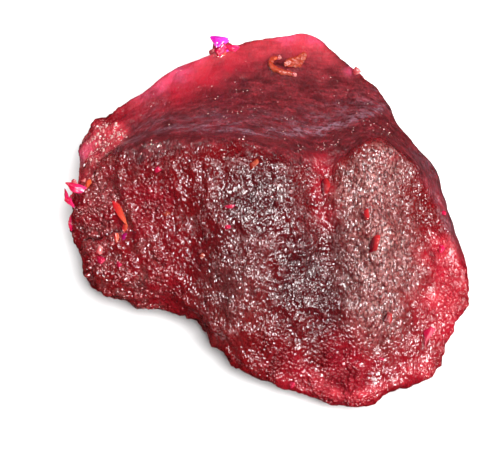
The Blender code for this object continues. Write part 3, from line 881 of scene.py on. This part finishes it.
def rough_heights(places, lumps, evens, settings):
    """How far the broken faces stand out: ribs, grains, lumps and swells, less the grooves."""
    ribs = noise_at(places, settings.rib_spacing, (1.0, 2.4, 2.4), 7.3)
    grains = grains_at(places, settings.grain_spacing, (1.0, 1.35, 1.35), 3.1)
    fine = noise_at(places, 0.55 * settings.grain_spacing, seed=11.0)
    rough = (settings.rib_height * ribs + settings.grain_height * (grains - 0.6)
             + 0.3 * settings.grain_height * fine)
    bubbles = grains_at(places, BUBBLE_SPACING, (1.0, 1.1, 1.1), 21.0) - 0.55
    rough += LUMP_HEIGHT * share_near(LUMPS, places) * (lumps + 0.8 * bubbles)
    for depth, share in groove_shares(places):
        rough -= depth * share
    rough *= 1 - evens
    for x, y, reach, height in SWELLS:
        away = np.hypot(places[:, 0] - x * MM, places[:, 1] - y * MM)
        rough += height * MM * np.exp(-(away / (reach * MM)) ** 2)
    return rough


def polished_heights(places, flow, settings):
    """How far the smooth hollow stands out: streaks, swells and the ledge under its band of painted
    sheen.
    """
    streaks = noise_at(flow, STREAK_SPACING, seed=2.0) + 0.6 * noise_at(places, 0.6 * MM)
    ledge = np.exp(-(behind_line(places, PAINTED_SHEEN_LINE) / LEDGE_WIDTH) ** 2)
    swells = noise_at(places, SWELL_SPACING, (2.5, 1.0, 1.0), 6.0)
    return settings.streak_height * (streaks + 2.5 * swells) + LEDGE_HEIGHT * ledge


class RAWRUBY_OT_stone(bpy.types.Operator):
    """Grow the fine-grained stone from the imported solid"""
    bl_idname = "raw_ruby.stone"
    bl_label = "Stone"

    def execute(self, context):
        settings = context.scene.raw_ruby_stone
        stone = fine_stone(context, settings)
        places, normals = coordinates(stone.data), normals_of(stone.data)
        thin = thinness(places, normals, surface_of(stone.data), EDGE_THICKNESS)
        hollow = hollow_share(places, normals)
        flow = flow_of(places)
        lumps = noise_at(places, LUMP_SPACING, seed=31.0)
        evens = share_near(EVENS, places)
        rough = rough_heights(places, lumps, evens, settings)
        outward = (1 - hollow) * rough + hollow * polished_heights(places, flow, settings)
        outward = ramp(places[:, 2], *FOOT_FADE) * outward
        move_to(stone.data, places + normals * outward[:, None])

        write_attribute(stone.data, "flow", flow)
        for name, values in self.looks(places, thin, hollow, flow, lumps, evens).items():
            write_attribute(stone.data, name, values)
        only(stone)
        bpy.ops.object.shade_smooth()
        finish_piece(stone, ruby_skin(settings))
        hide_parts(SOLID)
        return {"FINISHED"}

    def looks(self, places, thin, hollow, flow, lumps, evens):
        """How much of each of LOOKS every vertex has, for the stone's finish to read."""
        pebbly = share_near(PEBBLES, places) * (1 - hollow)
        tops = ramp(lumps, -0.25, 0.30)
        bed = np.max([share * depth / MM for depth, share in groove_shares(places)], axis=0)
        dim_rim = ramp(places[:, 0], *DIM_RIM_X) * ramp(places[:, 1], *DIM_RIM_Y)
        # Frost with a painted sheen, and a painted pale sheen on the lumps' tops.
        frost_and_sheen = np.maximum(share_near(FROST_AND_SHEEN_SPOTS, places), 0.5 * tops * share_near(LUMPS, places))
        smooth = hollow * ramp(behind_line(places, ROUGH_START), 0.0, 3.0 * MM)
        return {
            # Painted light through the stone: from the thin edges and the lit-through spots, and
            # fainter at the dim right rim.
            "thinness": np.maximum(thin * (1 - 0.65 * dim_rim), share_near(LIT_THROUGH_SPOTS, places)),
            "hollow": hollow,
            "frost_and_sheen": frost_and_sheen * (1 - hollow),
            "painted_sheen": painted_sheen_share(places, flow) * hollow,
            "glow": share_near(GLOWS, places),
            "deep": share_near(DEEPS, places),
            "edge_glow": share_near(EDGE_GLOWS, places),
            "bed": bed,
            "pebbly": pebbly,
            "tops": pebbly * (0.45 + 0.55 * tops) * (1 - bed) * (1 + 0.4 * evens),
            "smooth": np.maximum(smooth * (1 - share_near(PAINTED_SHEEN_SPOTS, places)), bed),
        }


def chip_finish(name, colours, roughness):
    """Glossy, translucent stone in one colour, painted from its shaded side to its lit side."""
    finish = Finish(name)
    colour = finish.mix(finish.attribute("side"), *colours)
    tooth = finish.bump(finish.noise(finish.place(), TOOTH_PER_METRE), CHIP_TOOTH_DEPTH, 0.5)
    return finish.shade(colour, tooth, roughness, CHIP_LIGHT)


def chip_finishes(settings):
    """The finish of each chip colour, made once and shared."""
    finishes = {}
    for name, colours in CHIP_COLOURS.items():
        roughness = settings.flake_roughness if name == "flake" else settings.roughness
        made = bpy.data.materials.get("chip_" + name)
        finishes[name] = made or chip_finish("chip_" + name, colours, roughness)
    return finishes


def angular_chip(name, seed):
    """A chip 1 mm long, wide and high at the origin: an uneven ball broken off by flat faces."""
    draw = random.Random(seed)
    bpy.ops.object.select_all(action="DESELECT")
    bpy.ops.mesh.primitive_ico_sphere_add(subdivisions=3, radius=CHIP_RADIUS * MM,
                                          location=(0, 0, 0))
    chip = bpy.context.object
    chip.name = name
    bpy.ops.object.mode_set(mode="EDIT")
    for _ in range(CHIP_CUTS):
        direction = Vector([draw.uniform(-1, 1) for _ in range(3)]).normalized()
        bpy.ops.mesh.select_all(action="SELECT")
        middle = direction * draw.uniform(*CHIP_CUT_SPAN) * MM
        bpy.ops.mesh.bisect(plane_co=middle, plane_no=direction, use_fill=True, clear_outer=True,
                            threshold=CUT_THRESHOLD)
    bpy.ops.object.mode_set(mode="OBJECT")
    modify(chip, "REMESH", mode="VOXEL", voxel_size=CHIP_MESH_STEP)
    places = coordinates(chip.data)
    (broad, broad_spacing), (close, close_spacing) = CHIP_BUMPS
    uneven = (broad * noise_at(places, broad_spacing, seed=seed + 0.5)
              + close * noise_at(places, close_spacing))
    places *= (1 + uneven)[:, None]
    taper = draw.uniform(*CHIP_TAPER_SPAN)
    places[:, 1:] *= 1 - taper * places[:, :1] / MM
    lowest, highest = places.min(axis=0), places.max(axis=0)
    move_to(chip.data, (places - (lowest + highest) / 2) * MM / (highest - lowest))
    return chip


def place_chip(chip, size, middle, long_side, up):
    """Stretches the chip, made 1 mm large, to its size in millimetres, turns it and moves it."""
    long_side = Vector(long_side).normalized()
    side = Vector(up).cross(long_side).normalized()
    turn = Matrix((long_side, side, long_side.cross(side))).transposed().to_4x4()
    chip.data.transform(Matrix.Translation(Vector(middle)) @ turn @ Matrix.Diagonal((*size, 1.0)))
    chip.data.update()
    places = coordinates(chip.data)
    from_middle = (places - np.array(middle))[:, 0] / max(np.ptp(places[:, 0]), 0.01 * MM)
    # Painted shade and light: the chip is darker on its left, away from the light, and lighter on
    # its right.
    write_attribute(chip.data, "side", np.clip(0.40 + 1.5 * from_middle, 0.0, 1.0))


def under(surface, x, y):
    """The surface's point under x, y, which are in millimetres, and its direction there."""
    return surface.ray_cast(Vector((x, y, RAY_TOP)) * MM, Vector((0, 0, -1)))[:2]


def finish_chip(chip, material):
    """Shades the chip smoothly between its edges, and gives it its material and its body."""
    only(chip)
    bpy.ops.object.shade_smooth_by_angle(angle=CHIP_EDGE_ANGLE)
    finish_piece(chip, material)


class RAWRUBY_OT_chips(bpy.types.Operator):
    """Set the bright chips into the stone's rough faces"""
    bl_idname = "raw_ruby.chips"
    bl_label = "Chips"

    def execute(self, context):
        settings = context.scene.raw_ruby_chips
        finishes = chip_finishes(settings)
        surface = surface_of(bpy.data.objects["ruby_stone"].data)
        for seed, (name, (x, y), size, turn, colour) in enumerate(CHIPS):
            chip = angular_chip(name, seed)
            place, normal = under(surface, x, y)
            up = (normal + Vector((0, 0, 1))).normalized()
            along = Vector((math.cos(math.radians(turn)), math.sin(math.radians(turn)), 0))
            along -= up * along.dot(up)
            middle = place + up * CHIP_RISE * size[2] * MM
            place_chip(chip, size, middle, along, up)
            finish_chip(chip, finishes[colour])
        return {"FINISHED"}


class RAWRUBY_OT_splinters(bpy.types.Operator):
    """Grow the splinters and crumbs that stand out of the stone's edge"""
    bl_idname = "raw_ruby.splinters"
    bl_label = "Splinters"

    def execute(self, context):
        settings = context.scene.raw_ruby_chips
        finishes = chip_finishes(settings)
        for seed, (name, middle, size, long_side, colour) in enumerate(SPLINTERS, start=100):
            splinter = angular_chip(name, seed)
            stands = abs(long_side[2]) >= UPRIGHT
            up = Vector((0, -1, 0)) if stands else Vector((0.2, -0.5, 0.85))
            place_chip(splinter, size, Vector(middle) * MM, long_side, up)
            finish_chip(splinter, finishes[colour])
        return {"FINISHED"}


class RAWRUBY_OT_curled_flake(bpy.types.Operator):
    """Draw out the curled flake that lies in the hollow"""
    bl_idname = "raw_ruby.curled_flake"
    bl_label = "Curled flake"

    def execute(self, context):
        flake = self.bow(context)
        leaf = angular_chip("curled_flake_leaf", 7)
        middle, size, long_side = CURL_LEAF
        place_chip(leaf, size, Vector(middle) * MM, long_side, CURL_LEAF_UP)
        only(flake)
        leaf.select_set(True)
        bpy.ops.object.join()
        modify(flake, "REMESH", mode="VOXEL", voxel_size=FLAKE_MESH_STEP)
        mesh = flake.data
        places, normals = coordinates(mesh), normals_of(mesh)
        (broad, broad_spacing), (close, close_spacing) = FLAKE_BUMPS
        ragged = (broad * noise_at(places, broad_spacing)
                  + close * noise_at(places, close_spacing, seed=4.0))
        move_to(mesh, places + normals * (ragged * MM)[:, None])
        # Painted light: the flake is lighter along its lower edge, and most of all on the bow.
        lower_edge = ramp(-normals[:, 1] + 0.5 * noise_at(places, 0.5 * MM, seed=8.0), 0.0, 0.9)
        on_bow = ramp(places[:, 0] - places[:, 1], *CURL_BOW_EDGE)
        side = 0.10 + 0.80 * lower_edge * (0.15 + 0.85 * on_bow)
        write_attribute(mesh, "side", np.clip(side, 0.0, 1.0))
        only(flake)
        bpy.ops.object.shade_smooth()
        finish_piece(flake, chip_finishes(context.scene.raw_ruby_chips)["flake"])
        return {"FINISHED"}

    def bow(self, context):
        """The flake's curled strand, drawn along its bow as a mesh."""
        bpy.ops.object.select_all(action="DESELECT")
        bpy.ops.curve.primitive_nurbs_path_add()
        strand = context.object
        strand.name = "curled_flake"
        strand.location = (0, 0, 0)
        line = strand.data.splines[0]
        line.points.add(len(CURL_BOW) - len(line.points))
        for point, (place, radius) in zip(line.points, CURL_BOW):
            point.co = (*Vector(place) * MM, 1.0)
            point.radius = radius
        strand.data.bevel_depth = MM
        strand.data.bevel_resolution = 3
        strand.data.use_fill_caps = True
        bpy.ops.object.convert(target="MESH")
        return strand


class RAWRUBY_OT_crumbs(bpy.types.Operator):
    """Scatter tiny crumbs over the hollow and the rough faces"""
    bl_idname = "raw_ruby.crumbs"
    bl_label = "Crumbs"

    def execute(self, context):
        settings = context.scene.raw_ruby_chips
        surface = surface_of(bpy.data.objects["ruby_stone"].data)
        draw = random.Random(12)
        for name, nests, colour, is_round in CRUMB_PIECES:
            bpy.ops.object.select_all(action="DESELECT")
            fineness = 2 if is_round else 1
            bpy.ops.mesh.primitive_ico_sphere_add(subdivisions=fineness, radius=0.5 * MM,
                                                  location=(0, 0, 0))
            pattern = context.object
            crumbs = []
            for nest in nests:
                crumbs += self.fill(context, nest, pattern, is_round, surface, draw)
            only(crumbs[0])
            for crumb in crumbs:
                crumb.select_set(True)
            bpy.ops.object.join()
            crumbs[0].name = name
            if is_round:
                bpy.ops.object.shade_smooth()
            finish_piece(crumbs[0], chip_finishes(settings)[colour])
            bpy.data.objects.remove(pattern)
        return {"FINISHED"}

    def fill(self, context, nest, pattern, is_round, surface, draw):
        """The nest's crumbs: copies of the pattern, uneven if not round, that lie on the stone."""
        x, y, reach, count, width = nest
        width *= context.scene.raw_ruby_chips.crumb_size
        crumbs = []
        for _ in range(count):
            turn, away = draw.uniform(0, math.tau), reach * math.sqrt(draw.random())
            place, normal = under(surface, x + away * math.cos(turn), y + away * math.sin(turn))
            share = width * draw.uniform(CRUMB_SMALLEST, 1.0) ** CRUMB_POWER
            if place is None:
                continue
            crumb = bpy.data.objects.new("crumb", pattern.data.copy())
            context.scene.collection.objects.link(crumb)
            if not is_round:
                corners = coordinates(crumb.data)
                uneven = np.array([draw.uniform(*CRUMB_CORNER_SPAN) for _ in corners])
                move_to(crumb.data, corners * uneven[:, None])
            long_side = Vector((draw.uniform(-1, 1), draw.uniform(-1, 1), 0))
            size = [share * draw.uniform(*span) for span in CRUMB_SPANS]
            place_chip(crumb, size, place, long_side, normal)
            crumbs.append(crumb)
        return crumbs


def area_light(name, place, size, power):
    """A soft square light that points at the stone."""
    bpy.ops.object.light_add(type="AREA", location=place)
    light = bpy.context.object
    light.name = name
    light.data.size = size
    light.data.energy = power
    light.rotation_mode = "QUATERNION"
    light.rotation_quaternion = (Vector(LIGHT_TARGET) - Vector(place)).to_track_quat("-Z", "Y")
    return light


class RAWRUBY_OT_stage(bpy.types.Operator):
    """Set up the floor, the lights and the camera"""
    bl_idname = "raw_ruby.stage"
    bl_label = "Studio"

    def execute(self, context):
        settings = context.scene.raw_ruby_stage
        self.floor(context, settings)
        self.light(context)
        self.camera(context, settings)
        context.scene.view_settings.view_transform = "Standard"
        return {"FINISHED"}

    def floor(self, context, settings):
        """The plain pale floor, which the stone doesn't mirror."""
        bpy.ops.object.select_all(action="DESELECT")
        bpy.ops.mesh.primitive_plane_add(size=settings.floor_width, location=(0, 0, 0))
        floor = context.object
        floor.name = "studio_floor"
        finish = Finish("studio_floor")
        finish.feed(finish.shader.inputs["Base Color"], settings.floor_colour)
        finish.feed(finish.shader.inputs["Roughness"], FLOOR_ROUGHNESS)
        floor.data.materials.append(finish.material)
        floor.visible_glossy = False

    def light(self, context):
        """Even daylight from all round, and the soft lamps."""
        world = bpy.data.worlds.new("studio")
        world.use_nodes = True
        daylight = world.node_tree.nodes["Background"]
        daylight.inputs["Color"].default_value = (1, 1, 1, 1)
        daylight.inputs["Strength"].default_value = DAYLIGHT
        context.scene.world = world
        world.cycles_visibility.glossy = False
        lights = {name: area_light(name, *values) for name, *values in LIGHTS}
        lights["left_light"].visible_diffuse = False     # it adds glints alone
        lights["glow_light"].visible_glossy = False      # it lights the thin rim, with no glare

    def camera(self, context, settings):
        """The camera, above and in front of the stone."""
        camera = bpy.data.objects.new("studio_camera", bpy.data.cameras.new("studio_camera"))
        context.scene.collection.objects.link(camera)
        camera.data.lens = settings.lens
        camera.data.sensor_width = CAMERA_SENSOR_WIDTH
        camera.data.clip_start = CAMERA_CLIP_START
        rise = settings.camera_height_angle
        forward = Vector((0, math.cos(rise), -math.sin(rise)))
        camera.location = Vector(settings.camera_target) - forward * settings.camera_distance
        camera.rotation_mode = "QUATERNION"
        camera.rotation_quaternion = forward.to_track_quat("-Z", "Y")
        context.scene.camera = camera


class RAWRUBY_PT_panel(bpy.types.Panel):
    """Lists the operators in the order in which they run"""
    bl_idname = "RAWRUBY_PT_panel"
    bl_label = "Raw ruby"
    bl_space_type = "VIEW_3D"
    bl_region_type = "UI"
    bl_category = "Raw ruby"

    def draw(self, context):
        for operator in PIECES:
            self.layout.operator(operator.bl_idname)


PIECES = (RAWRUBY_OT_stone, RAWRUBY_OT_chips, RAWRUBY_OT_splinters, RAWRUBY_OT_curled_flake,
          RAWRUBY_OT_crumbs, RAWRUBY_OT_stage)
CLASSES = (StoneSettings, ChipSettings, StageSettings, *PIECES, RAWRUBY_PT_panel)


def register():
    """Adds the classes, and their settings to the scene."""
    for cls in CLASSES:
        bpy.utils.register_class(cls)
    bpy.types.Scene.raw_ruby_stone = PointerProperty(type=StoneSettings)
    bpy.types.Scene.raw_ruby_chips = PointerProperty(type=ChipSettings)
    bpy.types.Scene.raw_ruby_stage = PointerProperty(type=StageSettings)


def unregister():
    """Takes out what register added."""
    del bpy.types.Scene.raw_ruby_stage
    del bpy.types.Scene.raw_ruby_chips
    del bpy.types.Scene.raw_ruby_stone
    for cls in reversed(CLASSES):
        bpy.utils.unregister_class(cls)


def main():
    """Builds everything in order."""
    register()
    for operator in (bpy.ops.raw_ruby.stone, bpy.ops.raw_ruby.chips, bpy.ops.raw_ruby.splinters,
                     bpy.ops.raw_ruby.curled_flake, bpy.ops.raw_ruby.crumbs,
                     bpy.ops.raw_ruby.stage):
        operator()


if __name__ == "__main__":
    main()
